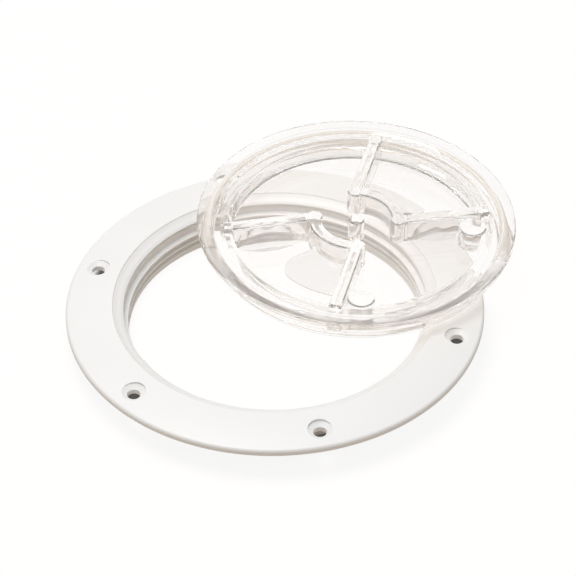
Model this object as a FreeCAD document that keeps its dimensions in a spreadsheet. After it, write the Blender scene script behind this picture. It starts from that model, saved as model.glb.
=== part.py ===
"""Deck inspection plate: a screw-down flange ring, its clear screw-in lid and the lid's seal.

The lid is taken off and lies across the back right of the ring, a little tilted, as it was laid
down. Millimetres, +Z up. The origin is on the ring's axis in the plane of the flange's underside,
the face that lies on the deck. The collar points down from there, into the deck's cut-out.
"""
import FreeCAD, Part
import math
import os

import Sketcher
from FreeCAD import Placement, Rotation, Vector

doc = FreeCAD.newDocument("DeckInspectionPlate")

# Driving dimensions, each with the cell's alias, its value and what it measures
SIZES = [
    ("bore_radius", 60.7, "radius of the bore at the root of its thread"),
    ("bore_lead", 0.8, "depth of the cone from the seat into the bore"),
    ("lead_width", 1.3, "width of the cone from the seat into the bore"),
    ("seat_width", 1.5, "width of the flat seat for the seal"),
    ("seat_depth", 1.35, "depth of the seat below the flange's inner edge"),
    ("flare_width", 1.7, "width of the slope from the flange's inner edge down to the seat"),
    ("flange_width", 18.8, "width of the flange's crowned top"),
    ("flange_edge", 2.6, "height of the flange at its outer edge"),
    ("crown_rise", 2.35, "how much higher the flange stands at the opening"),
    ("edge_chamfer", 1.1, "chamfer of the flange's upper outer edge"),
    ("under_chamfer", 0.4, "chamfer of the flange's lower outer edge"),
    ("thread_depth", 1.5, "how far the thread's crests stand out of the bore"),
    ("collar_wall", 3.1, "wall of the collar outside the bore"),
    ("collar_length", 11.1, "length of the collar below the flange"),
    ("collar_lip", 1.4, "height of the plain lip at the collar's foot"),
    ("collar_chamfer", 0.6, "chamfers at the collar's foot"),
    ("screw_inset", 8.9, "distance of the screw holes from the flange's outer edge"),
    ("screw_count", 6, "number of screw holes"),
    ("screw_turn", -17.4, "direction of the first screw hole, degrees"),
    ("screw_radius", 2.65, "radius of a screw hole"),
    ("sink_radius", 4.8, "radius of a countersink at the flange's top"),
    ("rim_gap", 0.3, "gap round the lid's rim when it is screwed in"),
    ("rim_edge", 1.9, "height of the lid's rim at its outer edge"),
    ("rim_root", 4.3, "depth of the rim's underside where it meets the skirt"),
    ("rim_chamfer", 0.5, "chamfer of the rim's upper outer edge"),
    ("rim_width", 4.9, "width of the rim's top outside its small step"),
    ("step_depth", 0.4, "depth and width of the small step in the rim's top"),
    ("ledge_width", 3.0, "width of the ledge inside the small step"),
    ("shoulder_width", 5.4, "width of the cup's sloping shoulder"),
    ("throat_depth", 1.7, "depth of the shoulder's lower edge below the rim's top"),
    ("cup_lean", 0.4, "how much the cup narrows down to its floor"),
    ("cup_depth", 9.2, "depth of the cup's floor below the rim's top"),
    ("cup_corner", 0.6, "chamfer between the cup's wall and its floor"),
    ("cup_wall", 1.8, "thickness of the cup's wall at its floor"),
    ("floor_thickness", 2.9, "thickness of the lid's floor"),
    ("foot_height", 0.5, "how far the skirt's foot stands below the floor"),
    ("skirt_wall", 2.6, "thickness of the skirt"),
    ("hollow_depth", 4.5, "depth of the hollow's roof, between cup and skirt, below the rim's top"),
    ("foot_chamfer", 0.5, "chamfer of the skirt's foot"),
    ("skirt_gap", 0.6, "gap between the skirt and the crests of the bore's thread"),
    ("grip_direction", 222.7, "direction of the first finger well's middle, degrees"),
    ("grip_half_angle", 32.0, "angle of each grip bar from the well's middle, degrees"),
    ("bar_offset", 4.3, "distance of a grip bar's middle line from the lid's axis"),
    ("bar_width", 5.2, "width of the grip bars and of the hub's arcs"),
    ("bar_rise", 0.6, "how far the grip bars stand above the rim's top"),
    ("bar_reach", 3.4, "how far the grip bars reach over the shoulder"),
    ("brow_chamfer", 0.5, "chamfer of the upper edges of the grip, its posts and the pip"),
    ("hub_radius", 17.0, "radius of the middle line of the hub's arcs"),
    ("swell_start", 4.3, "distance of a thumb swell from the hub's middle line"),
    ("swell_margin", 0.8, "distance of a thumb swell's outer end from the cup's wall"),
    ("swell_end_width", 3.2, "width of a thumb swell at its two ends"),
    ("swell_foot", 4.1, "how far a thumb swell bulges to each side at its foot"),
    ("swell_head", 0.3, "how far a thumb swell bulges to each side at its head"),
    ("swell_drop", 0.9, "how far a thumb swell's head stays below the top of its bar"),
    ("core_width", 1.7, "width of the hollow under the grip bars"),
    ("core_roof", 1.9, "thickness left above the hollow under the grip bars"),
    ("post_radius", 3.3, "radius of the posts where bars and arcs meet"),
    ("key_inset", 3.9, "distance of a key post's middle from the cup's wall"),
    ("key_angle", 15.6, "angle of a key post from its grip bar, degrees"),
    ("key_radius", 5.6, "radius of a key post"),
    ("key_drop", 0.7, "how far the key posts stay below the rim's top"),
    ("pip_radius", 3.3, "radius of the pip at the lid's middle"),
    ("pip_drop", 0.1, "how far the pip stays below the rim's top"),
    ("well_depth", 1.5, "how much deeper the floor is in the finger wells"),
    ("well_margin", 1.2, "width of the floor left between a finger well and the cup's wall"),
    ("ramp_length", 20.0, "length of the ramp in a finger well, from the hub's middle line"),
    ("ramp_foot", 0.4, "height of the ramp's outer edge above the well's floor"),
    ("ramp_rise", 2.6, "height of the ramp above the well's floor, at the hub's middle line"),
    ("ramp_start", 16.0, "angle of the ramp's free end from the well's middle, degrees"),
    ("ramp_rounding", 8.0, "rounding of the ramp's free corner, seen from above"),
    ("seal_section", 1.2, "radius of the seal's section"),
    ("seal_gap", 0.05, "gap between the seal and the lid round it"),
    ("lid_across", 33.4, "how far to the right the lid's foot lies"),
    ("lid_back", 33.2, "how far to the back the lid's foot lies"),
    ("lid_tilt", 1.5, "tilt of the lid down to the right, degrees"),
    ("rest_gap", 0.05, "gap between the lid's foot and the ring's highest edge"),
]

# Number of flats round the seal's section
SEAL_SIDES = 8

sheet = doc.addObject("Spreadsheet::Sheet", "Size")
for row, (alias, size, meaning) in enumerate(SIZES, start=1):
    sheet.set("A%d" % row, meaning)
    sheet.set("B%d" % row, str(size))
    sheet.setAlias("B%d" % row, alias)
doc.recompute()

# Levels, radii and angles that follow from the driving dimensions
FLANGE_TOP = "(Size.flange_edge + Size.crown_rise)"
SEAT_LEVEL = "(%s - Size.seat_depth)" % FLANGE_TOP
CREST_RADIUS = "(Size.bore_radius - Size.thread_depth)"
COLLAR_RADIUS = "(Size.bore_radius + Size.collar_wall)"
SEAT_INNER = "(Size.bore_radius + Size.lead_width)"
SEAT_OUTER = "(%s + Size.seat_width)" % SEAT_INNER
OPENING_RADIUS = "(%s + Size.flare_width)" % SEAT_OUTER
FLANGE_RADIUS = "(%s + Size.flange_width)" % OPENING_RADIUS
SCREW_CIRCLE = "(%s - Size.screw_inset)" % FLANGE_RADIUS
RIM_RADIUS = "(%s - Size.rim_gap)" % OPENING_RADIUS
STEP_RADIUS = "(%s - Size.rim_width)" % RIM_RADIUS
MOUTH_RADIUS = "(%s - Size.step_depth - Size.ledge_width)" % STEP_RADIUS
THROAT_RADIUS = "(%s - Size.shoulder_width)" % MOUTH_RADIUS
FLOOR_RADIUS = "(%s - Size.cup_lean)" % THROAT_RADIUS
WELL_RADIUS = "(%s - Size.well_margin)" % FLOOR_RADIUS
RAMP_RADIUS = "(Size.hub_radius + Size.ramp_length)"
KEY_CIRCLE = "(%s - Size.key_inset)" % THROAT_RADIUS
SKIRT_RADIUS = "(%s - Size.skirt_gap)" % CREST_RADIUS
UNDERSIDE = "(Size.cup_depth + Size.floor_thickness)"
FOOT_DEPTH = "(%s + Size.foot_height)" % UNDERSIDE
WELL_FLOOR = "(Size.cup_depth + Size.well_depth)"
BAR_SWING = "(asin(Size.bar_offset / Size.hub_radius) / 1 deg)"
BAR_START = "(Size.hub_radius * cos(%s))" % BAR_SWING
WELL_HALF_ANGLE = "(Size.grip_half_angle + asin(Size.bar_offset / %s) / 1 deg)" % RAMP_RADIUS
BAR_END = "(%s + Size.bar_reach)" % THROAT_RADIUS
CORE_DEPTH = "(Size.core_roof - Size.bar_rise)"
SWELL_START = "(Size.hub_radius + Size.swell_start)"
SWELL_END = "(%s - Size.swell_margin)" % FLOOR_RADIUS


def number(expression):
    """The present value of a sheet expression."""
    value = sheet.evalExpression(expression.replace("Size.", ""))
    return float(getattr(value, "Value", value))


def new_body(label):
    """An empty body under its own label."""
    body = doc.addObject("PartDesign::Body", label)
    body.Label = label
    return body


def origin_part(body, role):
    """One of the body's own origin planes or axes."""
    return next(part for part in body.Origin.OriginFeatures if part.Role == role)


def new_sketch(body, name, role, lift="0", turn="0"):
    """A sketch on an origin plane, lifted along its normal and turned about the body's Z axis."""
    sketch = body.newObject("Sketcher::SketchObject", name)
    sketch.AttachmentSupport = [(origin_part(body, role), "")]
    sketch.MapMode = "FlatFace"
    upright = Vector(0, 0, 1) if role == "XY_Plane" else Vector(0, 1, 0)
    sketch.AttachmentOffset = Placement(Vector(0, 0, number(lift)), Rotation(upright, 1))
    sketch.setExpression("AttachmentOffset.Base.z", lift)
    sketch.setExpression("AttachmentOffset.Rotation.Angle", turn)
    return sketch


def hold(sketch, kind, *where_and_size):
    """Adds a dimension whose size is the expression given last."""
    *where, expression = where_and_size
    index = sketch.addConstraint(Sketcher.Constraint(kind, *where, number(expression)))
    sketch.setExpression("Constraints[%d]" % index, expression)


def pin_point(sketch, geometry, point, across, up):
    """Holds a point of the sketch at a place given by two expressions."""
    for kind, expression, axis in (("DistanceX", across, -2), ("DistanceY", up, -1)):
        if expression == "0":
            sketch.addConstraint(Sketcher.Constraint("PointOnObject", geometry, point, axis))
        else:
            hold(sketch, kind, geometry, point, expression)


def join(sketch, one, one_point, other, other_point):
    """Lets two points of the sketch coincide."""
    sketch.addConstraint(
        Sketcher.Constraint("Coincident", one, one_point, other, other_point))


def draw_polygon(sketch, corners):
    """A closed outline of straight lines through corners, each given by two expressions."""
    spots = [Vector(number(across), number(up), 0) for across, up in corners]
    first = sketch.GeometryCount
    for spot, following in zip(spots, spots[1:] + spots[:1]):
        sketch.addGeometry(Part.LineSegment(spot, following), False)
    for index, (across, up) in enumerate(corners):
        join(sketch, first + index, 2, first + (index + 1) % len(corners), 1)
        pin_point(sketch, first + index, 1, across, up)


def draw_circle(sketch, across, up, radius):
    """A circle round a centre given by two expressions."""
    centre = Vector(number(across), number(up), 0)
    circle = sketch.addGeometry(Part.Circle(centre, Vector(0, 0, 1), number(radius)), False)
    pin_point(sketch, circle, 3, across, up)
    hold(sketch, "Radius", circle, radius)


def draw_sector(sketch, inner, outer, start, end):
    """A piece of a flat ring round the sketch's origin, between two angles in degrees."""
    arcs = []
    ends = {}
    for radius in (inner, outer):
        circle = Part.Circle(Vector(), Vector(0, 0, 1), number(radius))
        first = math.radians(number(start))
        last = math.radians(number(end))
        arc = sketch.addGeometry(Part.ArcOfCircle(circle, first, last), False)
        join(sketch, arc, 3, -1, 1)
        hold(sketch, "DistanceX", arc, 1, "(%s) * cos(%s)" % (radius, start))
        hold(sketch, "DistanceY", arc, 1, "(%s) * sin(%s)" % (radius, start))
        hold(sketch, "DistanceY", arc, 2, "(%s) * sin(%s)" % (radius, end))
        ends[arc] = [sketch.getPoint(arc, 1), sketch.getPoint(arc, 2)]
        arcs.append(arc)
    near, far = arcs
    for side in (0, 1):
        line = sketch.addGeometry(Part.LineSegment(ends[near][side], ends[far][side]), False)
        join(sketch, line, 1, near, side + 1)
        join(sketch, line, 2, far, side + 1)


def draw_lens(sketch, start, end, middle, bulge):
    """A lens along the sketch's X axis: blunt ends as wide as a thumb swell's, two bowed sides."""
    low = "(%s - Size.swell_end_width / 2)" % middle
    high = "(%s + Size.swell_end_width / 2)" % middle
    half_chord = "((%s - %s) / 2)" % (end, start)
    radius = "((pow(%s; 2) + pow(%s; 2)) / (2 * %s))" % (half_chord, bulge, bulge)
    centre = (number(start) + number(end)) / 2
    corners = [(start, low), (end, low), (end, high), (start, high)]
    spots = [Vector(number(across), number(up), 0) for across, up in corners]
    belly = Vector(centre, number(low) - number(bulge), 0)
    back = Vector(centre, number(high) + number(bulge), 0)
    outline = [
        Part.Arc(spots[0], belly, spots[1]),
        Part.LineSegment(spots[1], spots[2]),
        Part.Arc(spots[2], back, spots[3]),
        Part.LineSegment(spots[3], spots[0]),
    ]
    sides = [sketch.addGeometry(side, False) for side in outline]
    for index, (across, up) in enumerate(corners):
        join(sketch, sides[index - 1], 2, sides[index], 1)
        pin_point(sketch, sides[index], 1, across, up)
    hold(sketch, "Radius", sides[0], radius)
    hold(sketch, "Radius", sides[2], radius)


def blend(body, name, foot, head):
    """A solid that runs straight from the outline at its foot to the one at its head."""
    feature = body.newObject("PartDesign::AdditiveLoft", name)
    feature.Profile = foot
    feature.Sections = [head]
    feature.Ruled = True
    doc.recompute()
    return feature


def revolve(body, name, sketch, angle="360"):
    """Turns a closed half section round the body's Z axis, leftwards through an angle."""
    feature = body.newObject("PartDesign::Revolution", name)
    feature.Profile = sketch
    feature.ReferenceAxis = (sketch, ["V_Axis"])
    feature.Angle = number(angle)
    feature.setExpression("Angle", angle)
    doc.recompute()
    return feature


def pad(body, name, sketch, height):
    """Raises a sketch by a height given as an expression."""
    feature = body.newObject("PartDesign::Pad", name)
    feature.Profile = sketch
    feature.Length = number(height)
    feature.setExpression("Length", height)
    doc.recompute()
    return feature


def pocket(body, name, sketch, depth, upward=False):
    """Cuts a sketch into the body, down or up, and makes sure that something went."""
    before = body.Shape.Volume
    feature = body.newObject("PartDesign::Pocket", name)
    feature.Profile = sketch
    feature.Length = number(depth)
    feature.setExpression("Length", depth)
    feature.Reversed = upward
    doc.recompute()
    if not feature.Shape.Volume < before:
        raise RuntimeError("%s cuts nothing" % name)
    return feature


def post(body, name, across, radius, top, turn="0"):
    """A round post with a chamfered top, from the lid's underside up to a level."""
    brow = "(%s - Size.brow_chamfer)" % top
    plan = new_sketch(body, name + "Plan", "XY_Plane", "-%s" % UNDERSIDE, turn)
    draw_circle(plan, across, "0", radius)
    foot = new_sketch(body, name + "Foot", "XY_Plane", brow, turn)
    draw_circle(foot, across, "0", radius)
    head = new_sketch(body, name + "Head", "XY_Plane", top, turn)
    draw_circle(head, across, "0", "%s - Size.brow_chamfer" % radius)
    stem = pad(body, name, plan, "%s + %s" % (UNDERSIDE, brow))
    return [stem, blend(body, name + "Brow", foot, head)]


def repeat_round(body, name, features, count):
    """Repeats features evenly round the body's Z axis."""
    pattern = body.newObject("PartDesign::PolarPattern", name)
    pattern.Originals = features
    pattern.Axis = (origin_part(body, "Z_Axis"), [""])
    pattern.Angle = 360
    pattern.setExpression("Occurrences", count)
    body.Tip = pattern
    doc.recompute()
    return pattern


def circles_at(shape, radius, level):
    """Names of the circular edges with a radius at a level of the shape's own frame."""
    names = []
    for index, edge in enumerate(shape.Edges, start=1):
        if not isinstance(edge.Curve, Part.Circle):
            continue
        near_radius = abs(edge.Curve.Radius - number(radius)) < 1e-5
        near_level = abs(edge.Curve.Center.z - number(level)) < 1e-5
        if near_radius and near_level:
            names.append("Edge%d" % index)
    return names


def edges_at(shape, level):
    """Names of the edges that lie flat at a level."""
    names = []
    for index, edge in enumerate(shape.Edges, start=1):
        box = edge.BoundBox
        if max(abs(box.ZMin - number(level)), abs(box.ZMax - number(level))) < 1e-5:
            names.append("Edge%d" % index)
    return names


def upright_pair(shape, radius, direction):
    """Names of the upright edges at a radius, in a direction in degrees and opposite it."""
    turn = math.radians(number(direction))
    spot = Vector(number(radius) * math.cos(turn), number(radius) * math.sin(turn), 0)
    names = []
    for index, edge in enumerate(shape.Edges, start=1):
        box = edge.BoundBox
        foot = Vector(box.Center.x, box.Center.y, 0)
        upright = abs(box.ZLength - edge.Length) < 1e-5
        if upright and min(foot.distanceToPoint(spot), foot.distanceToPoint(-spot)) < 1e-4:
            names.append("Edge%d" % index)
    return names


def dress(body, kind, name, base, edges, size):
    """A fillet or a chamfer on named edges of a feature."""
    feature = body.newObject("PartDesign::" + kind, name)
    feature.Base = (base, edges)
    measure = "Radius" if kind == "Fillet" else "Size"
    setattr(feature, measure, number(size))
    feature.setExpression(measure, size)
    doc.recompute()
    return feature


def make_ring():
    """The flange ring: crowned flange, stepped seat, plain bore and collar, screw holes."""
    ring = new_body("flange_ring")
    section = new_sketch(ring, "RingSection", "XZ_Plane")
    foot = "-Size.collar_length"
    draw_polygon(section, [
        (CREST_RADIUS, foot),
        (COLLAR_RADIUS, foot),
        (COLLAR_RADIUS, "0"),
        (FLANGE_RADIUS, "0"),
        (FLANGE_RADIUS, "Size.flange_edge"),
        (OPENING_RADIUS, FLANGE_TOP),
        (SEAT_OUTER, SEAT_LEVEL),
        (SEAT_INNER, SEAT_LEVEL),
        ("Size.bore_radius", "%s - Size.bore_lead" % SEAT_LEVEL),
        ("Size.bore_radius", "Size.collar_lip + Size.thread_depth - Size.collar_length"),
        (CREST_RADIUS, "Size.collar_lip - Size.collar_length"),
    ])
    turned = revolve(ring, "Ring", section)
    edge = circles_at(turned.Shape, FLANGE_RADIUS, "Size.flange_edge")
    softened = dress(ring, "Chamfer", "FlangeEdge", turned, edge, "Size.edge_chamfer")
    edge = circles_at(softened.Shape, FLANGE_RADIUS, "0")
    broken = dress(ring, "Chamfer", "FlangeUnder", softened, edge, "Size.under_chamfer")
    edges = circles_at(broken.Shape, CREST_RADIUS, foot)
    edges += circles_at(broken.Shape, COLLAR_RADIUS, foot)
    dress(ring, "Chamfer", "CollarFoot", broken, edges, "Size.collar_chamfer")

    # One countersunk hole, cut where the crowned flange has its own height, and its repeats
    hole = new_sketch(ring, "ScrewHole", "XZ_Plane", turn="Size.screw_turn")
    crown = "(Size.flange_edge + Size.crown_rise * Size.screw_inset / Size.flange_width)"
    wall = "%s + Size.screw_radius" % SCREW_CIRCLE
    flare = "%s + 2 * Size.sink_radius" % SCREW_CIRCLE
    draw_polygon(hole, [
        (SCREW_CIRCLE, "-Size.sink_radius"),
        (wall, "-Size.sink_radius"),
        (wall, "%s - (Size.sink_radius - Size.screw_radius)" % crown),
        (flare, "%s + Size.sink_radius" % crown),
        (SCREW_CIRCLE, "%s + Size.sink_radius" % crown),
    ])
    middle = hole.addGeometry(
        Part.LineSegment(Vector(number(SCREW_CIRCLE), 0, 0),
                         Vector(number(SCREW_CIRCLE), 1, 0)), True)
    pin_point(hole, middle, 1, SCREW_CIRCLE, "0")
    hole.addConstraint(Sketcher.Constraint("Vertical", middle))
    hold(hole, "DistanceY", middle, 1, middle, 2, "Size.flange_edge")
    before = ring.Shape.Volume
    drilled = ring.newObject("PartDesign::Groove", "CountersunkHole")
    drilled.Profile = hole
    drilled.ReferenceAxis = (hole, ["Axis0"])
    drilled.Angle = 360
    doc.recompute()
    if not drilled.Shape.Volume < before:
        raise RuntimeError("the screw hole cuts nothing")
    repeat_round(ring, "ScrewHoles", [drilled], "Size.screw_count")
    return ring


def make_lid():
    """The clear lid: a cup with a rim and a skirt, and a hollow grip that outlines two wells."""
    lid = new_body("inspection_lid")
    section = new_sketch(lid, "CupSection", "XZ_Plane")
    cup_back = "%s + Size.cup_wall" % FLOOR_RADIUS
    skirt_inside = "%s - Size.skirt_wall" % SKIRT_RADIUS
    draw_polygon(section, [
        ("0", "-%s" % UNDERSIDE),
        (cup_back, "-%s" % UNDERSIDE),
        (cup_back, "-Size.hollow_depth"),
        (skirt_inside, "-Size.hollow_depth"),
        (skirt_inside, "-%s" % FOOT_DEPTH),
        (SKIRT_RADIUS, "-%s" % FOOT_DEPTH),
        (SKIRT_RADIUS, "-Size.rim_root"),
        (RIM_RADIUS, "-Size.rim_edge"),
        (RIM_RADIUS, "0"),
        (STEP_RADIUS, "0"),
        ("%s - Size.step_depth" % STEP_RADIUS, "-Size.step_depth"),
        (MOUTH_RADIUS, "-Size.step_depth"),
        (THROAT_RADIUS, "-Size.throat_depth"),
        (FLOOR_RADIUS, "-Size.cup_depth"),
        ("0", "-Size.cup_depth"),
    ])
    turned = revolve(lid, "Cup", section)
    edge = circles_at(turned.Shape, FLOOR_RADIUS, "-Size.cup_depth")
    filled = dress(lid, "Chamfer", "CupCorner", turned, edge, "Size.cup_corner")
    edge = circles_at(filled.Shape, RIM_RADIUS, "0")
    broken = dress(lid, "Chamfer", "RimEdge", filled, edge, "Size.rim_chamfer")
    edge = circles_at(broken.Shape, SKIRT_RADIUS, "-%s" % FOOT_DEPTH)
    dress(lid, "Chamfer", "SkirtFoot", broken, edge, "Size.foot_chamfer")

    # The finger wells are sunk into the floor, in two opposite sectors that end under the bars
    reach = "(Size.grip_half_angle + %s)" % BAR_SWING
    well = new_sketch(lid, "WellPlan", "XY_Plane", "-Size.cup_depth", "Size.grip_direction")
    draw_sector(well, "Size.hub_radius", WELL_RADIUS,
                "-%s" % WELL_HALF_ANGLE, WELL_HALF_ANGLE)
    sunk = pocket(lid, "Well", well, "Size.well_depth")
    repeat_round(lid, "Wells", [sunk], "2")

    # A ramp falls from the hub into each well, and runs in under one of its bars
    slope = new_sketch(lid, "RampSlope", "XZ_Plane",
                       turn="Size.grip_direction - Size.ramp_start")
    draw_polygon(slope, [
        ("Size.hub_radius", "-%s" % WELL_FLOOR),
        (RAMP_RADIUS, "-%s" % WELL_FLOOR),
        (RAMP_RADIUS, "Size.ramp_foot - %s" % WELL_FLOOR),
        ("Size.hub_radius", "Size.ramp_rise - %s" % WELL_FLOOR),
    ])
    raised = [revolve(lid, "Ramp", slope, "Size.ramp_start + %s" % WELL_HALF_ANGLE)]

    # Two bars and the hub's arc between them stand round each well
    bar_height = "%s + Size.bar_rise" % UNDERSIDE
    for name, side in (("LeftBar", "-"), ("RightBar", "+")):
        turn = "Size.grip_direction %s Size.grip_half_angle" % side
        plan = new_sketch(lid, name + "Plan", "XY_Plane", "-%s" % UNDERSIDE, turn)
        low = "%sSize.bar_offset - Size.bar_width / 2" % side
        high = "%sSize.bar_offset + Size.bar_width / 2" % side
        draw_polygon(plan, [
            (BAR_START, low), (BAR_END, low), (BAR_END, high), (BAR_START, high)])
        raised.append(pad(lid, name, plan, bar_height))

    # The first bar of each well swells towards its foot, to a thumb's width on both its sides
    turn = "Size.grip_direction - Size.grip_half_angle"
    swell_top = "(Size.bar_rise - Size.swell_drop)"
    foot = new_sketch(lid, "SwellFoot", "XY_Plane", "-%s" % WELL_FLOOR, turn)
    draw_lens(foot, SWELL_START, SWELL_END, "-Size.bar_offset", "Size.swell_foot")
    head = new_sketch(lid, "SwellHead", "XY_Plane", swell_top, turn)
    draw_lens(head, SWELL_START, SWELL_END, "-Size.bar_offset", "Size.swell_head")
    raised.append(blend(lid, "Swell", foot, head))

    arc = new_sketch(lid, "HubPlan", "XY_Plane", "-%s" % UNDERSIDE, "Size.grip_direction")
    draw_sector(arc, "Size.hub_radius - Size.bar_width / 2",
                "Size.hub_radius + Size.bar_width / 2", "-%s" % reach, reach)
    raised.append(pad(lid, "HubArc", arc, bar_height))

    grip = repeat_round(lid, "Grip", raised, "2")
    brow = edges_at(grip.Shape, "Size.bar_rise")
    browed = dress(lid, "Chamfer", "GripBrow", grip, brow, "Size.brow_chamfer")
    corners = upright_pair(browed.Shape, RAMP_RADIUS, "Size.grip_direction - Size.ramp_start")
    dress(lid, "Fillet", "RampCorners", browed, corners, "Size.ramp_rounding")

    # Round posts where bars and arc meet, and key posts beside the bars' outer ends
    posts = []
    for name, side in (("Left", "-"), ("Right", "+")):
        turn = "Size.grip_direction %s %s" % (side, reach)
        posts += post(lid, name + "Post", "Size.hub_radius", "Size.post_radius",
                      "Size.bar_rise", turn)
        turn = "Size.grip_direction %s (Size.grip_half_angle + Size.key_angle)" % side
        posts += post(lid, name + "Key", KEY_CIRCLE, "Size.key_radius", "-Size.key_drop", turn)
    repeat_round(lid, "Posts", posts, "2")

    # The bars and arcs are cored from below, so that no wall is thick
    cores = []
    core_height = "%s - %s" % (UNDERSIDE, CORE_DEPTH)
    for name, side in (("Left", "-"), ("Right", "+")):
        turn = "Size.grip_direction %s Size.grip_half_angle" % side
        plan = new_sketch(lid, name + "CorePlan", "XY_Plane", "-%s" % UNDERSIDE, turn)
        low = "%sSize.bar_offset - Size.core_width / 2" % side
        high = "%sSize.bar_offset + Size.core_width / 2" % side
        start = "Size.hub_radius + Size.post_radius"
        end = "%s - Size.cup_corner" % FLOOR_RADIUS
        draw_polygon(plan, [(start, low), (end, low), (end, high), (start, high)])
        cores.append(pocket(lid, name + "Core", plan, core_height, upward=True))
    plan = new_sketch(lid, "HubCorePlan", "XY_Plane", "-%s" % UNDERSIDE, "Size.grip_direction")
    draw_sector(plan, "Size.hub_radius - Size.core_width / 2",
                "Size.hub_radius + Size.core_width / 2",
                "-Size.grip_half_angle", "Size.grip_half_angle")
    cores.append(pocket(lid, "HubCore", plan, core_height, upward=True))
    repeat_round(lid, "Cores", cores, "2")

    post(lid, "Pip", "0", "Size.pip_radius", "-Size.pip_drop")
    return lid


def make_seal():
    """The seal: a ring under the lid's rim, round the top of its skirt, of eight-sided section."""
    seal = new_body("lid_seal")
    section = new_sketch(seal, "SealSection", "XZ_Plane")
    middle = "(%s + Size.seal_gap + Size.seal_section)" % SKIRT_RADIUS
    corners = []
    for corner in range(SEAL_SIDES):
        angle = (corner + 0.5) * 360 / SEAL_SIDES
        corners.append(("%s + Size.seal_section * cos(%s)" % (middle, angle),
                        "Size.seal_section * sin(%s)" % angle))
    draw_polygon(section, corners)
    revolve(seal, "Seal", section)
    return seal


def lay_down(piece, depth):
    """Places a piece on the lid's tilted axis, at a depth below the rim's top."""
    foot_level = ("%s + Size.rest_gap + (%s - Size.lid_across)"
                  " * tan(Size.lid_tilt)" % (FLANGE_TOP, OPENING_RADIUS))
    above_foot = "(%s - %s)" % (FOOT_DEPTH, depth)
    piece.Placement = Placement(Vector(), Rotation(Vector(0, 1, 0), 1))
    piece.setExpression("Placement.Rotation.Angle", "Size.lid_tilt")
    piece.setExpression(
        "Placement.Base.x", "Size.lid_across + %s * sin(Size.lid_tilt)" % above_foot)
    piece.setExpression("Placement.Base.y", "Size.lid_back")
    piece.setExpression(
        "Placement.Base.z", "%s + %s * cos(Size.lid_tilt)" % (foot_level, above_foot))


ring = make_ring()
lid = make_lid()
seal = make_seal()

# The seal touches the rim's sloping underside from below
SLOPE = "((Size.rim_root - Size.rim_edge) / (%s - %s))" % (RIM_RADIUS, SKIRT_RADIUS)
SEAL_DEPTH = ("(Size.rim_root + (Size.seal_gap + Size.seal_section)"
              " * (sqrt(1 + pow(%s; 2)) - %s))" % (SLOPE, SLOPE))
lay_down(lid, "0")
lay_down(seal, SEAL_DEPTH)
doc.recompute()

for item in doc.Objects:
    if "Invalid" in item.State or "Error" in item.State:
        raise RuntimeError("%s failed: %s" % (item.Label, item.State))

os.makedirs("parts", exist_ok=True)
for piece in (ring, lid, seal):
    if piece.Shape.isNull() or not piece.Shape.isValid():
        raise RuntimeError("%s has no valid shape" % piece.Label)
    piece.Shape.exportStep("parts/%s.step" % piece.Label)
    print("%s: %d solid, %.1f cubic mm" % (
        piece.Label, len(piece.Shape.Solids), piece.Shape.Volume))
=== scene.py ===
"""Looks of the deck inspection plate: white moulded ring, clear lid laid across it, and seal.

Metres, +Z up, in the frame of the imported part: the origin is on the ring's axis in the plane of
the flange's underside.
"""

import math

import bmesh
import bpy
from mathutils import Matrix, Vector


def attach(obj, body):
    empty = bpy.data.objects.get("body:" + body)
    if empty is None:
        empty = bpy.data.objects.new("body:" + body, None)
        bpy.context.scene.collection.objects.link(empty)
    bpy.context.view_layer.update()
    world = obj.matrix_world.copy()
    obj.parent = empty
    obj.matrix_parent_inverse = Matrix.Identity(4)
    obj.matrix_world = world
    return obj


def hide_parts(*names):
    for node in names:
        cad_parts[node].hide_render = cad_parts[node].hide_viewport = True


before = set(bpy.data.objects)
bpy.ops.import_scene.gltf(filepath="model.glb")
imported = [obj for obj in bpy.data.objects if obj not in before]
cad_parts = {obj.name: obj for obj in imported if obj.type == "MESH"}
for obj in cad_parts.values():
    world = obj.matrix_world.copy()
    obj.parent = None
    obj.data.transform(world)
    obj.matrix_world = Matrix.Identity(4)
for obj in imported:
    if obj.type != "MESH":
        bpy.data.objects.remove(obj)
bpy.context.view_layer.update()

MM = 0.001

# Ring, in millimetres and degrees: radii, and heights above the flange's underside. The recess
# under the seat's lip is measured from the bore's wall
FLANGE_RADIUS = 84.0
FLANGE_EDGE = 2.6
FLANGE_ROUNDING = 1.5
UNDER_ROUNDING = 0.4
OPENING_RADIUS = 65.2
FLANGE_TOP = 4.95
SEAT_OUTER = 63.5
SEAT_INNER = 62.0
SEAT_LEVEL = 3.6
STEP_WIDTH = 0.25
STEP_DROP = 0.45
SEAT_FALL = 0.7
LIP_RADIUS = 60.7
LIP_LEVEL = 2.1
LIP_UNDERCUT = 0.3
RECESS_DEPTH = 0.7
RECESS_HEIGHT = 1.2
BORE_RADIUS = 61.2
CREST_RADIUS = 59.2
COLLAR_RADIUS = 63.8
COLLAR_FOOT = -11.1
COLLAR_LIP = 1.4
COLLAR_ROUNDING = 0.6
SCREW_CIRCLE = 75.1
SCREW_COUNT = 6
SCREW_TURN = -17.4
SCREW_RADIUS = 2.65
SINK_RADIUS = 4.8
SINK_DEPTH = 1.7
SINK_STEP = 0.35

# Roundings of the ring's other corners, in millimetres
STEP_ROUNDING = 0.08
CRISP_ROUNDING = 0.1
SOFT_ROUNDING = 0.2
WIDE_ROUNDING = 0.3

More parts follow.
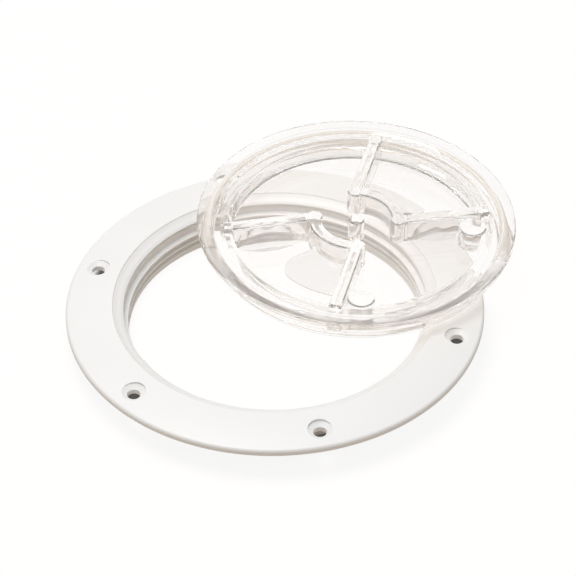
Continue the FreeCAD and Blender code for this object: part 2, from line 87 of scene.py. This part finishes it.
# Lid, in millimetres and degrees: radii, heights above its rim's top, and where its foot lies
LID_FOOT = -12.6
RIM_EDGE = -1.9
RIM_ROOT = -4.3
RIM_GAP = 0.3
SKIRT_RADIUS = 58.6
LID_ACROSS = 33.4
LID_BACK = 33.2
LID_TILT = 1.5
REST_GAP = 0.05
SEAL_SECTION = 1.2
SEAL_GAP = 0.05

# The lid's key posts, and the directions, in degrees, of those that are left out
KEY_CIRCLE = 47.3
KEY_RADIUS = 5.6
KEY_MARGIN = 0.05
KEY_FOOT = -12.0
BARE_DIRECTIONS = (90.3, 175.1)
# The air in the lid's cup: radii and heights just off its floor, wall and shoulder
CUP_AIR = [(30.0, -9.18), (50.16, -9.18), (50.76, -8.56), (51.13, -1.63), (56.6, -0.33),
           (56.6, 1.0), (30.0, 1.0)]

# Slope of the lid's ramps, in degrees: from, to
RAMP_SLOPE = (4.5, 8.0)

# Screw threads, in millimetres, turns and degrees
PITCH = 2.95
THREAD_DEPTH = 1.5
BORE_THREAD_DEPTH = 2.0
BORE_THREAD_TOP = -0.9
BORE_THREAD_TURNS = 2.9
BORE_THREAD_END = 137.0
LID_THREAD_FOOT = -11.4
LID_THREAD_TURNS = 1.2
LID_THREAD_START = 60.0
THREAD_FADE = 14.0
THREAD_TIP = 0.12
THREAD_ROOT_WIDTH = 2.3
THREAD_CREST_WIDTH = 0.9
THREAD_BITE = 0.25

# Steps of round shapes
THREAD_STEPS = 180
TURNED_STEPS = 288
HOLE_STEPS = 48
POST_STEPS = 64
SEAL_STEPS = 20
ROUNDING_STEPS = 5

# Edges that turn by more than this stay sharp, in degrees
RING_SHARP = 22
THREAD_SHARP = 30
LID_SHARP = 25

# How far cutters reach past what they cut, in millimetres, and how near two points are one,
# in metres
CUT_PAST = 3.0
MERGE_DISTANCE = 1e-7

# The photograph's camera: degrees, metres and pixels of its square frame, but for its sensor
# and the height that it aims at, which are in millimetres
CAMERA_ELEVATION = 41.893
CAMERA_ROLL = -0.970
CAMERA_DISTANCE = 1.09304
FOCAL_PIXELS = 2722.475
RING_MIDDLE_PIXEL = (274.92, 303.34)
FRAME_SIDE = 576
SENSOR = 36.0
AIM_HEIGHT = 2.6
CLIP_START = 0.05

# Floor: its side in metres and its drop below the collar's foot in millimetres
FLOOR_SIZE = 6.0
FLOOR_DROP = 0.05
# Painted shade on the floor under the flange, which shows in the screw holes, in millimetres:
# a ring's middle line, its shift to the back, where its side fades, and where it ends under
# the flange's edge
PAINTED_SHADE_RADIUS = 73.0
PAINTED_SHADE_SHIFT = 8.0
PAINTED_SHADE_SIDE = (4.5, 8.0)
PAINTED_SHADE_END = (83.0, 85.0)
PAINTED_SHADE_DEPTH = 0.83
# How brightly the floor glows to the camera, and to glass and gloss from near to far: a painted
# pool of light, brightest round the object
FLOOR_GLOW = 0.89
NEAR_FAR = (80.0, 220.0)
NEAR_FAR_GLOW = (0.9, 0.72)

# The lamp: metres and watts
LAMP_SIZE = 0.6
LAMP_POWER = 8.4
LAMP_PLACE = (-0.22, 0.12, 1.2)


def srgb(code):
    """Linear RGBA of an sRGB hex colour."""
    parts = [int(code[i:i + 2], 16) / 255 for i in (0, 2, 4)]
    linear = [p / 12.92 if p <= 0.04045 else ((p + 0.055) / 1.055) ** 2.4 for p in parts]
    return (*linear, 1.0)


def add_node(tree, kind, inputs=None, settings=None, **values):
    """Adds a node. Settings are its properties. Inputs, by name or number, and values, by
    name, are numbers, colours or the sockets that feed them."""
    node = tree.nodes.new(kind)
    for name, value in (settings or {}).items():
        setattr(node, name, value)
    named = {name.replace("_", " "): value for name, value in values.items()}
    for name, value in {**(inputs or {}), **named}.items():
        if isinstance(value, bpy.types.NodeSocket):
            tree.links.new(value, node.inputs[name])
        else:
            node.inputs[name].default_value = value
    return node


def new_material(name):
    """An empty node material and its output node."""
    material = bpy.data.materials.new(name)
    material.use_nodes = True
    material.node_tree.nodes.clear()
    return material, add_node(material.node_tree, "ShaderNodeOutputMaterial")


def new_object(name, data):
    """A new object in the scene."""
    item = bpy.data.objects.new(name, data)
    bpy.context.scene.collection.objects.link(item)
    return item


def white_moulded_asa():
    """ASA plastic, injection moulded: satin white, a little warm, with a faint orange peel."""
    material, output = new_material("white moulded ASA")
    tree = material.node_tree
    place = add_node(tree, "ShaderNodeTexCoord").outputs["Object"]
    # Clouds of tone about 26 mm wide, and an orange peel of about 1 mm
    cloud = add_node(tree, "ShaderNodeTexNoise", {"Vector": place}, Scale=38.0, Detail=3.0)
    tone = add_node(tree, "ShaderNodeMix", {"Factor": cloud.outputs["Fac"]},
                    {"data_type": "RGBA"}, A=srgb("F1F1F0"), B=srgb("F4F4F3"))
    haze = add_node(tree, "ShaderNodeMapRange", {"Value": cloud.outputs["Fac"]},
                    To_Min=0.34, To_Max=0.46)
    peel = add_node(tree, "ShaderNodeTexNoise", {"Vector": place}, Scale=900.0, Detail=2.0)
    bump = add_node(tree, "ShaderNodeBump", {"Height": peel.outputs["Fac"]},
                    Strength=0.08, Distance=0.0002)
    shader = add_node(tree, "ShaderNodeBsdfPrincipled", {
        "Base Color": tone.outputs["Result"],
        "Roughness": haze.outputs["Result"],
        "Normal": bump.outputs["Normal"],
    }, IOR=1.52)
    tree.links.new(shader.outputs["BSDF"], output.inputs["Surface"])
    return material


def clear_moulded_polycarbonate():
    """Polycarbonate, injection moulded: clear with a slight milky veil and slow flow waves."""
    material, output = new_material("clear moulded polycarbonate")
    tree = material.node_tree
    place = add_node(tree, "ShaderNodeTexCoord").outputs["Object"]
    # Flow waves about 17 mm long
    flow = add_node(tree, "ShaderNodeTexNoise", {"Vector": place}, Scale=60.0, Detail=1.0)
    haze = add_node(tree, "ShaderNodeMapRange", {"Value": flow.outputs["Fac"]},
                    To_Min=0.015, To_Max=0.05)
    bump = add_node(tree, "ShaderNodeBump", {"Height": flow.outputs["Fac"]},
                    Strength=0.12, Distance=0.0004)
    # The front ramp's top is rougher, which blurs what lies below, and its tint is painted shade,
    # greyer than the rest of the lid
    rough_and_shaded = add_node(tree, "ShaderNodeAttribute", settings={"attribute_name": "ramp"})
    tone = add_node(tree, "ShaderNodeMix", {"Factor": rough_and_shaded.outputs["Fac"]},
                    {"data_type": "RGBA"}, A=srgb("FDFCFB"), B=srgb("F0EDEB"))
    grain = add_node(tree, "ShaderNodeMath", {
        0: rough_and_shaded.outputs["Fac"], 1: 0.2, 2: haze.outputs["Result"]},
        {"operation": "MULTIPLY_ADD"})
    shader = add_node(tree, "ShaderNodeBsdfPrincipled", {
        "Base Color": tone.outputs["Result"],
        "Roughness": grain.outputs[0],
        "Normal": bump.outputs["Normal"],
    }, IOR=1.585, Transmission_Weight=0.95)
    # Light passes straight through to what lies below, so that the lid hardly shades it
    passed = add_node(tree, "ShaderNodeBsdfTransparent", Color=srgb("FFFEFD"))
    path = add_node(tree, "ShaderNodeLightPath").outputs
    near = add_node(tree, "ShaderNodeMixShader", {
        0: path["Is Diffuse Ray"], 1: shader.outputs["BSDF"], 2: passed.outputs["BSDF"]})
    both = add_node(tree, "ShaderNodeMixShader", {
        0: path["Is Shadow Ray"], 1: near.outputs["Shader"], 2: passed.outputs["BSDF"]})
    tree.links.new(both.outputs["Shader"], output.inputs["Surface"])
    return material


def pale_moulded_silicone():
    """Silicone rubber, moulded: milky, soft light passes a little way into it."""
    material, output = new_material("pale moulded silicone")
    tree = material.node_tree
    place = add_node(tree, "ShaderNodeTexCoord").outputs["Object"]
    # Bloom in patches about 8 mm wide
    bloom = add_node(tree, "ShaderNodeTexNoise", {"Vector": place}, Scale=120.0, Detail=2.0)
    tone = add_node(tree, "ShaderNodeMix", {"Factor": bloom.outputs["Fac"]},
                    {"data_type": "RGBA"}, A=srgb("E9E5DF"), B=srgb("F1EEE9"))
    haze = add_node(tree, "ShaderNodeMapRange", {"Value": bloom.outputs["Fac"]},
                    To_Min=0.45, To_Max=0.6)
    shader = add_node(tree, "ShaderNodeBsdfPrincipled", {
        "Base Color": tone.outputs["Result"],
        "Roughness": haze.outputs["Result"],
    }, IOR=1.41, Transmission_Weight=0.35)
    # Part of the light passes it, so that its shadow is pale
    passed = add_node(tree, "ShaderNodeBsdfTransparent", Color=srgb("D8D5D0"))
    path = add_node(tree, "ShaderNodeLightPath").outputs
    both = add_node(tree, "ShaderNodeMixShader", {
        0: path["Is Shadow Ray"], 1: shader.outputs["BSDF"], 2: passed.outputs["BSDF"]})
    tree.links.new(both.outputs["Shader"], output.inputs["Surface"])
    return material


def add_piece(name, mesh, material, body="root"):
    """A finished piece of the object: it lies at the origin and rides on a body."""
    piece = new_object(name, mesh)
    mesh.materials.clear()
    mesh.materials.append(material)
    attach(piece, body)
    return piece


def smooth_by_angle(mesh, degrees):
    """Smooth shading, but for edges that turn by more than an angle."""
    work = bmesh.new()
    work.from_mesh(mesh)
    for face in work.faces:
        face.smooth = True
    for edge in work.edges:
        if len(edge.link_faces) == 2:
            edge.smooth = edge.calc_face_angle(0.0) < math.radians(degrees)
    work.to_mesh(mesh)
    work.free()


def turned_mesh(name, profile, steps):
    """A closed profile of (radius, height) in millimetres, turned round the Z axis."""
    work = bmesh.new()
    poles = {h: work.verts.new((0, 0, h * MM)) for r, h in profile if not r}
    rows = []
    for step in range(steps):
        across, back = math.cos(math.tau * step / steps), math.sin(math.tau * step / steps)
        rows.append([work.verts.new((r * MM * across, r * MM * back, h * MM)) if r else poles[h]
                     for r, h in profile])
    for step, row in enumerate(rows):
        following = rows[(step + 1) % steps]
        for index in range(len(profile)):
            after = (index + 1) % len(profile)
            corners = (row[index], following[index], following[after], row[after])
            if len(set(corners)) > 2:
                work.faces.new(dict.fromkeys(corners))
    bmesh.ops.recalc_face_normals(work, faces=work.faces)
    mesh = bpy.data.meshes.new(name)
    work.to_mesh(mesh)
    work.free()
    return mesh


def rounded(before, corner, after, radius):
    """Points of a rounding of a profile's corner."""
    before, corner, after = Vector(before), Vector(corner), Vector(after)
    one, other = (before - corner).normalized(), (after - corner).normalized()
    half = one.angle(other) / 2
    middle = corner + (one + other).normalized() * radius / math.sin(half)
    start = corner + one * radius / math.tan(half)
    end = corner + other * radius / math.tan(half)
    sweep = math.atan2((start - middle).cross(end - middle), (start - middle).dot(end - middle))
    points = []
    arm = start - middle
    for step in range(ROUNDING_STEPS + 1):
        turn = sweep * step / ROUNDING_STEPS
        points.append(tuple(middle + Vector((
            arm.x * math.cos(turn) - arm.y * math.sin(turn),
            arm.x * math.sin(turn) + arm.y * math.cos(turn)))))
    return points


def softened(corners):
    """A closed profile from corners (radius, height, rounding)."""
    points = []
    for index, (across, up, radius) in enumerate(corners):
        if radius:
            before = corners[index - 1][:2]
            after = corners[(index + 1) % len(corners)][:2]
            points += rounded(before, (across, up), after, radius)
        else:
            points.append((across, up))
    return points


def join_solids(target, tool, operation):
    """Adds one closed mesh to another, cuts it out or keeps what both share: a new mesh."""
    objects = [new_object("work", mesh) for mesh in (target, tool)]
    change = objects[0].modifiers.new("join", "BOOLEAN")
    change.operation = operation
    change.solver = "EXACT"
    change.object = objects[1]
    graph = bpy.context.evaluated_depsgraph_get()
    result = bpy.data.meshes.new_from_object(objects[0].evaluated_get(graph))
    for item in objects:
        bpy.data.objects.remove(item)
    return result


def thread_tree():
    """Geometry nodes for one screw thread: a ridge that climbs round the Z axis."""
    tree = bpy.data.node_groups.new("screw thread", "GeometryNodeTree")
    for name in ("Wall radius", "Depth", "Bite", "Pitch", "Turns", "Foot", "Start",
                 "Root width", "Crest width", "Fade", "Tip"):
        tree.interface.new_socket(name, in_out="INPUT", socket_type="NodeSocketFloat")
    tree.interface.new_socket("Steps", in_out="INPUT", socket_type="NodeSocketInt")
    tree.interface.new_socket("Material", in_out="INPUT", socket_type="NodeSocketMaterial")
    tree.interface.new_socket("Geometry", in_out="OUTPUT", socket_type="NodeSocketGeometry")
    sizes = add_node(tree, "NodeGroupInput").outputs
    out = add_node(tree, "NodeGroupOutput")

    height = add_node(tree, "ShaderNodeMath", {0: sizes["Pitch"], 1: sizes["Turns"]},
                      {"operation": "MULTIPLY"})
    climb = add_node(tree, "GeometryNodeCurveSpiral", {
        "Resolution": sizes["Steps"],
        "Rotations": sizes["Turns"],
        "Start Radius": sizes["Wall radius"],
        "End Radius": sizes["Wall radius"],
        "Height": height.outputs[0],
    })
    lift = add_node(tree, "ShaderNodeCombineXYZ", {"Z": sizes["Foot"]})
    turn = add_node(tree, "ShaderNodeCombineXYZ", {"Z": sizes["Start"]})
    placed = add_node(tree, "GeometryNodeTransform", {
        "Geometry": climb.outputs["Curve"], "Translation": lift.outputs["Vector"],
        "Rotation": turn.outputs["Vector"]})
    upright = add_node(tree, "GeometryNodeSetCurveNormal",
                       {"Curve": placed.outputs["Geometry"]}, {"mode": "Z_UP"})
    # Both ends fade into the wall: the section's scale follows the way to the nearer end
    run = add_node(tree, "GeometryNodeSplineParameter").outputs["Length"]
    scale = add_node(tree, "GeometryNodeCurveLength",
                     {"Curve": placed.outputs["Geometry"]}).outputs["Length"]
    for operation, other in (("SUBTRACT", run), ("MINIMUM", run), ("DIVIDE", sizes["Fade"]),
                             ("MAXIMUM", sizes["Tip"]), ("MINIMUM", 1.0)):
        scale = add_node(tree, "ShaderNodeMath", {0: scale, 1: other},
                         {"operation": operation}).outputs[0]
    faded = add_node(tree, "GeometryNodeSetCurveRadius", {
        "Curve": upright.outputs["Curve"], "Radius": scale})
    # The ridge's section: x towards the axis, y along it
    inside = add_node(tree, "ShaderNodeMath", {0: sizes["Bite"], 1: -1.0},
                      {"operation": "MULTIPLY"}).outputs[0]
    section = add_node(tree, "GeometryNodeCurvePrimitiveQuadrilateral",
                       settings={"mode": "POINTS"})
    corners = ((inside, "Root width", -0.5), (sizes["Depth"], "Crest width", -0.5),
               (sizes["Depth"], "Crest width", 0.5), (inside, "Root width", 0.5))
    for index, (across, width, share) in enumerate(corners, start=1):
        up = add_node(tree, "ShaderNodeMath", {0: sizes[width], 1: share},
                      {"operation": "MULTIPLY"})
        spot = add_node(tree, "ShaderNodeCombineXYZ", {"X": across, "Y": up.outputs[0]})
        tree.links.new(spot.outputs["Vector"], section.inputs["Point %d" % index])
    ridge = add_node(tree, "GeometryNodeCurveToMesh", {
        "Curve": faded.outputs["Curve"], "Profile Curve": section.outputs["Curve"]},
        Fill_Caps=True)
    real = add_node(tree, "GeometryNodeRealizeInstances", {"Geometry": ridge.outputs["Mesh"]})
    finish = add_node(tree, "GeometryNodeSetMaterial", {
        "Geometry": real.outputs["Geometry"], "Material": sizes["Material"]})
    tree.links.new(finish.outputs["Geometry"], out.inputs["Geometry"])
    return tree


def grown_mesh(tree, material, **sizes):
    """The plain mesh that a geometry node tree makes from its named inputs."""
    holder = new_object("holder", bpy.data.meshes.new("holder"))
    modifier = holder.modifiers.new("grow", "NODES")
    modifier.node_group = tree
    sockets = {item.name: item.identifier for item in tree.interface.items_tree
               if item.in_out == "INPUT"}
    for name, value in sizes.items():
        modifier[sockets[name.replace("_", " ")]] = value
    modifier[sockets["Material"]] = material
    graph = bpy.context.evaluated_depsgraph_get()
    mesh = bpy.data.meshes.new_from_object(holder.evaluated_get(graph))
    bpy.data.objects.remove(holder)
    return mesh


def outward(mesh):
    """Turns all faces of closed shells outwards."""
    work = bmesh.new()
    work.from_mesh(mesh)
    bmesh.ops.remove_doubles(work, verts=work.verts, dist=MERGE_DISTANCE)
    bmesh.ops.recalc_face_normals(work, faces=work.faces)
    work.to_mesh(mesh)
    work.free()


def aside(radius, degrees):
    """The move from the axis to a spot on a circle, its radius in millimetres."""
    angle = math.radians(degrees)
    return Matrix.Translation((radius * MM * math.cos(angle), radius * MM * math.sin(angle), 0))


asa = white_moulded_asa()
polycarbonate = clear_moulded_polycarbonate()
silicone = pale_moulded_silicone()
thread = thread_tree()


def make_ring():
    """The white ring: flange, seat, bore and collar in one turned shape with six screw holes,
    and the bore's thread."""
    recess_top = LIP_LEVEL - LIP_UNDERCUT
    lip_top = COLLAR_FOOT + COLLAR_LIP
    mesh = turned_mesh("ring", softened([
        (CREST_RADIUS, COLLAR_FOOT, COLLAR_ROUNDING),
        (COLLAR_RADIUS, COLLAR_FOOT, COLLAR_ROUNDING),
        (COLLAR_RADIUS, 0.0, WIDE_ROUNDING),
        (FLANGE_RADIUS, 0.0, UNDER_ROUNDING),
        (FLANGE_RADIUS, FLANGE_EDGE, FLANGE_ROUNDING),
        (OPENING_RADIUS, FLANGE_TOP, CRISP_ROUNDING),
        (OPENING_RADIUS - STEP_WIDTH, FLANGE_TOP - STEP_DROP, STEP_ROUNDING),
        (SEAT_OUTER, SEAT_LEVEL, SOFT_ROUNDING),
        (SEAT_INNER, SEAT_LEVEL - SEAT_FALL, SOFT_ROUNDING),
        (LIP_RADIUS, LIP_LEVEL, CRISP_ROUNDING),
        (BORE_RADIUS + RECESS_DEPTH, recess_top, CRISP_ROUNDING),
        (BORE_RADIUS, recess_top - RECESS_HEIGHT, WIDE_ROUNDING),
        (BORE_RADIUS, lip_top + THREAD_DEPTH, WIDE_ROUNDING),
        (CREST_RADIUS, lip_top, WIDE_ROUNDING),
    ]), TURNED_STEPS)
    slope = (FLANGE_TOP - FLANGE_EDGE) / (FLANGE_RADIUS - OPENING_RADIUS)
    crown = FLANGE_EDGE + slope * (FLANGE_RADIUS - SCREW_CIRCLE)
    for index in range(SCREW_COUNT):
        cutter = turned_mesh("screw hole", [
            (0.0, -CUT_PAST),
            (SCREW_RADIUS, -CUT_PAST),
            (SCREW_RADIUS, crown - SINK_DEPTH),
            (SINK_RADIUS, crown - SINK_STEP),
            (SINK_RADIUS, crown + CUT_PAST),
            (0.0, crown + CUT_PAST),
        ], HOLE_STEPS)
        cutter.transform(aside(SCREW_CIRCLE, SCREW_TURN + 360 * index / SCREW_COUNT))
        mesh = join_solids(mesh, cutter, "DIFFERENCE")
    smooth_by_angle(mesh, RING_SHARP)
    ring = add_piece("ring", mesh, asa)
    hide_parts("flange_ring")

    ridge = grown_mesh(
        thread, asa, Wall_radius=BORE_RADIUS * MM, Depth=BORE_THREAD_DEPTH * MM,
        Bite=THREAD_BITE * MM, Pitch=PITCH * MM, Turns=BORE_THREAD_TURNS,
        Foot=(BORE_THREAD_TOP - BORE_THREAD_TURNS * PITCH) * MM,
        Start=math.radians(BORE_THREAD_END) - math.tau * BORE_THREAD_TURNS,
        Root_width=THREAD_ROOT_WIDTH * MM, Crest_width=THREAD_CREST_WIDTH * MM,
        Fade=THREAD_FADE * MM, Tip=THREAD_TIP, Steps=THREAD_STEPS)
    outward(ridge)
    smooth_by_angle(ridge, THREAD_SHARP)
    add_piece("bore_thread", ridge, asa)


def lid_place():
    """Where the lid lies: its rim's top middle and its tilt."""
    tilt = math.radians(LID_TILT)
    foot_level = FLANGE_TOP + REST_GAP + (OPENING_RADIUS - LID_ACROSS) * math.tan(tilt)
    middle = Vector((LID_ACROSS - LID_FOOT * math.sin(tilt), LID_BACK,
                     foot_level - LID_FOOT * math.cos(tilt)))
    return Matrix.Translation(middle * MM) @ Matrix.Rotation(tilt, 4, "Y")


def without_back_posts(mesh):
    """The lid without two key posts at its back left, where the photograph shows a bare cup."""
    radius = KEY_RADIUS + KEY_MARGIN
    for direction in BARE_DIRECTIONS:
        post = turned_mesh("post", [
            (0.0, KEY_FOOT), (radius, KEY_FOOT), (radius, CUT_PAST), (0.0, CUT_PAST)],
            POST_STEPS)
        post.transform(aside(KEY_CIRCLE, direction))
        air = turned_mesh("cup air", CUP_AIR, TURNED_STEPS)
        cutter = join_solids(air, post, "INTERSECT")
        cutter.transform(lid_place())
        mesh = join_solids(mesh, cutter, "DIFFERENCE")
    return mesh


def make_lid():
    """The clear lid: the CAD shape with its skirt's thread, as one closed skin."""
    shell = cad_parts["inspection_lid"].data.copy()
    outward(shell)
    ridge = grown_mesh(
        thread, polycarbonate, Wall_radius=SKIRT_RADIUS * MM, Depth=-THREAD_DEPTH * MM,
        Bite=-THREAD_BITE * MM, Pitch=PITCH * MM, Turns=LID_THREAD_TURNS,
        Foot=LID_THREAD_FOOT * MM, Start=math.radians(LID_THREAD_START),
        Root_width=THREAD_ROOT_WIDTH * MM, Crest_width=THREAD_CREST_WIDTH * MM,
        Fade=THREAD_FADE * MM, Tip=THREAD_TIP, Steps=THREAD_STEPS)
    outward(ridge)
    ridge.transform(lid_place())
    mesh = without_back_posts(join_solids(shell, ridge, "UNION"))
    smooth_by_angle(mesh, LID_SHARP)
    upright = lid_place().inverted()
    # Faces of the front ramp's top, which the material makes rougher and paints greyer as shade
    rough_and_shaded = mesh.attributes.new("ramp", "FLOAT", "FACE")
    for face, mark in zip(mesh.polygons, rough_and_shaded.data):
        slope = math.degrees((upright.to_3x3() @ face.normal).angle(Vector((0, 0, 1)), 0.0))
        in_front = (upright @ face.center).y < 0
        mark.value = float(in_front and RAMP_SLOPE[0] < slope < RAMP_SLOPE[1])
    lid = add_piece("lid", mesh, polycarbonate)
    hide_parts("inspection_lid")


def make_seal():
    """The round seal in the corner between the lid's rim and its skirt."""
    middle = SKIRT_RADIUS + SEAL_GAP + SEAL_SECTION
    slope = (RIM_EDGE - RIM_ROOT) / (OPENING_RADIUS - RIM_GAP - SKIRT_RADIUS)
    level = RIM_ROOT - (SEAL_GAP + SEAL_SECTION) * (math.sqrt(1 + slope ** 2) - slope)
    angles = [math.tau * step / SEAL_STEPS for step in range(SEAL_STEPS)]
    mesh = turned_mesh("seal", [(middle + SEAL_SECTION * math.cos(angle),
                                 level + SEAL_SECTION * math.sin(angle)) for angle in angles],
                       TURNED_STEPS)
    mesh.transform(lid_place())
    for face in mesh.polygons:
        face.use_smooth = True
    seal = add_piece("seal", mesh, silicone)
    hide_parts("lid_seal")


def make_floor():
    """A pale floor that shows white and keeps the object's shadow, out to the horizon."""
    material, output = new_material("white paper sweep")
    tree = material.node_tree
    path = add_node(tree, "ShaderNodeLightPath").outputs
    seen = path["Is Camera Ray"]
    for ray in ("Is Glossy Ray", "Is Transmission Ray"):
        seen = add_node(tree, "ShaderNodeMath", {0: seen, 1: path[ray]},
                        {"operation": "MAXIMUM"}).outputs[0]
    plain = add_node(tree, "ShaderNodeBsdfDiffuse", Color=srgb("D6C6B3"))
    lifted = add_node(tree, "ShaderNodeBsdfDiffuse", Color=srgb("605E5C"))
    place = add_node(tree, "ShaderNodeTexCoord").outputs["Object"]
    # Painted shade: for the camera only, the floor's glow is dimmed in a ring under the flange,
    # shifted to the back, so that the screw holes show dark
    shifted = add_node(tree, "ShaderNodeMapping", {
        "Vector": place, "Location": (0.0, -PAINTED_SHADE_SHIFT * MM, 0.0), "Scale": (1.0, 1.0, 0.0)})
    radius = add_node(tree, "ShaderNodeVectorMath", {0: shifted.outputs["Vector"]},
                      {"operation": "LENGTH"}).outputs["Value"]
    past = add_node(tree, "ShaderNodeMath", {0: radius, 1: PAINTED_SHADE_RADIUS * MM},
                    {"operation": "SUBTRACT"})
    away = add_node(tree, "ShaderNodeMath", {0: past.outputs[0]}, {"operation": "ABSOLUTE"})
    painted_shade = add_node(tree, "ShaderNodeMapRange", {"Value": away.outputs[0]},
                     {"interpolation_type": "SMOOTHSTEP"}, From_Min=PAINTED_SHADE_SIDE[0] * MM,
                     From_Max=PAINTED_SHADE_SIDE[1] * MM, To_Min=PAINTED_SHADE_DEPTH, To_Max=0.0)
    flat = add_node(tree, "ShaderNodeVectorMath", {0: place, 1: (1.0, 1.0, 0.0)},
                    {"operation": "MULTIPLY"})
    from_axis = add_node(tree, "ShaderNodeVectorMath", {0: flat.outputs["Vector"]},
                         {"operation": "LENGTH"})
    under = add_node(tree, "ShaderNodeMapRange", {"Value": from_axis.outputs["Value"]},
                     From_Min=PAINTED_SHADE_END[0] * MM, From_Max=PAINTED_SHADE_END[1] * MM,
                     To_Min=1.0, To_Max=0.0)
    dim = painted_shade.outputs["Result"]
    for factor in (under.outputs["Result"], path["Is Camera Ray"]):
        dim = add_node(tree, "ShaderNodeMath", {0: dim, 1: factor},
                       {"operation": "MULTIPLY"}).outputs[0]
    # Painted light: glass and gloss see the sweep glow brightest round the object and dimmer
    # further out, as a painted pool of light
    painted_pool = add_node(tree, "ShaderNodeMapRange", {"Value": radius},
                     From_Min=NEAR_FAR[0] * MM, From_Max=NEAR_FAR[1] * MM,
                     To_Min=NEAR_FAR_GLOW[0], To_Max=NEAR_FAR_GLOW[1])
    glow_level = add_node(tree, "ShaderNodeMix", {
        0: path["Is Camera Ray"], 2: painted_pool.outputs["Result"], 3: FLOOR_GLOW})
    strength = add_node(tree, "ShaderNodeMath", {0: glow_level.outputs[0], 1: dim},
                        {"operation": "SUBTRACT"})
    glow = add_node(tree, "ShaderNodeEmission", {"Strength": strength.outputs[0]},
                    Color=srgb("FFFFFF"))
    shown = add_node(tree, "ShaderNodeAddShader",
                     {0: lifted.outputs["BSDF"], 1: glow.outputs["Emission"]})
    both = add_node(tree, "ShaderNodeMixShader", {
        0: seen, 1: plain.outputs["BSDF"], 2: shown.outputs["Shader"]})
    tree.links.new(both.outputs["Shader"], output.inputs["Surface"])
    mesh = bpy.data.meshes.new("floor")
    half = FLOOR_SIZE / 2
    level = (COLLAR_FOOT - FLOOR_DROP) * MM
    mesh.from_pydata([(-half, -half, level), (half, -half, level), (half, half, level),
                      (-half, half, level)], [], [(0, 1, 2, 3)])
    mesh.materials.append(material)
    floor = new_object("floor", mesh)


def make_light():
    """A white room that is a little darker low down, and one large soft lamp."""
    world = bpy.data.worlds.new("white room")
    bpy.context.scene.world = world
    world.use_nodes = True
    tree = world.node_tree
    tree.nodes.clear()
    output = add_node(tree, "ShaderNodeOutputWorld")
    path = add_node(tree, "ShaderNodeLightPath").outputs
    way = add_node(tree, "ShaderNodeTexCoord").outputs["Generated"]
    height = add_node(tree, "ShaderNodeSeparateXYZ", {"Vector": way}).outputs["Z"]
    shades = {}
    for kind, low, top, strength in (("glass", "DAD2CA", 0.55, 0.86),
                                     ("plain", "5C4E42", 0.9, 0.62)):
        ramp = add_node(tree, "ShaderNodeValToRGB", {"Fac": height})
        stops = ramp.color_ramp.elements
        stops[0].position, stops[0].color = 0.0, srgb(low)
        stops[1].position, stops[1].color = top, srgb("FFFFFF")
        shades[kind] = add_node(tree, "ShaderNodeBackground", {"Color": ramp.outputs["Color"]},
                                Strength=strength).outputs["Background"]
    white = add_node(tree, "ShaderNodeBackground", Color=srgb("FFFFFF"), Strength=1.0)
    room = add_node(tree, "ShaderNodeMixShader", {
        0: path["Is Diffuse Ray"], 1: shades["glass"], 2: shades["plain"]})
    both = add_node(tree, "ShaderNodeMixShader", {
        0: path["Is Camera Ray"], 1: room.outputs["Shader"], 2: white.outputs["Background"]})
    tree.links.new(both.outputs["Shader"], output.inputs["Surface"])

    lamp = bpy.data.lights.new("soft box", "AREA")
    lamp.shape = "SQUARE"
    lamp.size = LAMP_SIZE
    lamp.energy = LAMP_POWER
    lamp.color = srgb("FFFEFD")[:3]
    box = new_object("soft box", lamp)
    box.location = LAMP_PLACE
    box.rotation_euler = (-box.location).to_track_quat("-Z", "Y").to_euler()


def make_camera():
    """The photograph's camera: from the front, 42 degrees up, the ring left of the middle."""
    elevation, roll = math.radians(CAMERA_ELEVATION), math.radians(CAMERA_ROLL)
    forward = Vector((0, math.cos(elevation), -math.sin(elevation)))
    right = Vector((1, 0, 0))
    up = right.cross(forward)
    across = right * math.cos(roll) + up * math.sin(roll)
    upward = up * math.cos(roll) - right * math.sin(roll)
    basis = Matrix((across, upward, forward)).transposed()
    middle = FRAME_SIDE / 2
    ray = Vector(((RING_MIDDLE_PIXEL[0] - middle) / FOCAL_PIXELS,
                  (middle - RING_MIDDLE_PIXEL[1]) / FOCAL_PIXELS, 1.0))
    turn = ray.rotation_difference(Vector((0, 0, 1))).to_matrix()
    axes = basis @ turn
    right, up, forward = axes.col[0], axes.col[1], axes.col[2]
    place = Vector((0, 0, AIM_HEIGHT * MM)) + CAMERA_DISTANCE * Vector((
        0, -math.cos(elevation), math.sin(elevation)))
    camera = bpy.data.cameras.new("camera")
    camera.sensor_width = SENSOR
    camera.lens = FOCAL_PIXELS / FRAME_SIDE * SENSOR
    camera.clip_start = CLIP_START
    holder = new_object("camera", camera)
    facing = Matrix((right, up, -forward)).transposed()
    holder.matrix_world = Matrix.Translation(place) @ facing.to_4x4()
    bpy.context.scene.camera = holder


make_camera()
make_floor()
make_light()
make_ring()
make_lid()
make_seal()

bpy.context.scene.view_settings.view_transform = "Standard"
# Light turns round inside the clear lid many times before it leaves
bpy.context.scene.cycles.max_bounces = 96
bpy.context.scene.cycles.glossy_bounces = 64
bpy.context.scene.cycles.transmission_bounces = 64
bpy.context.scene.cycles.transparent_max_bounces = 32
bpy.context.scene.render.film_transparent = False
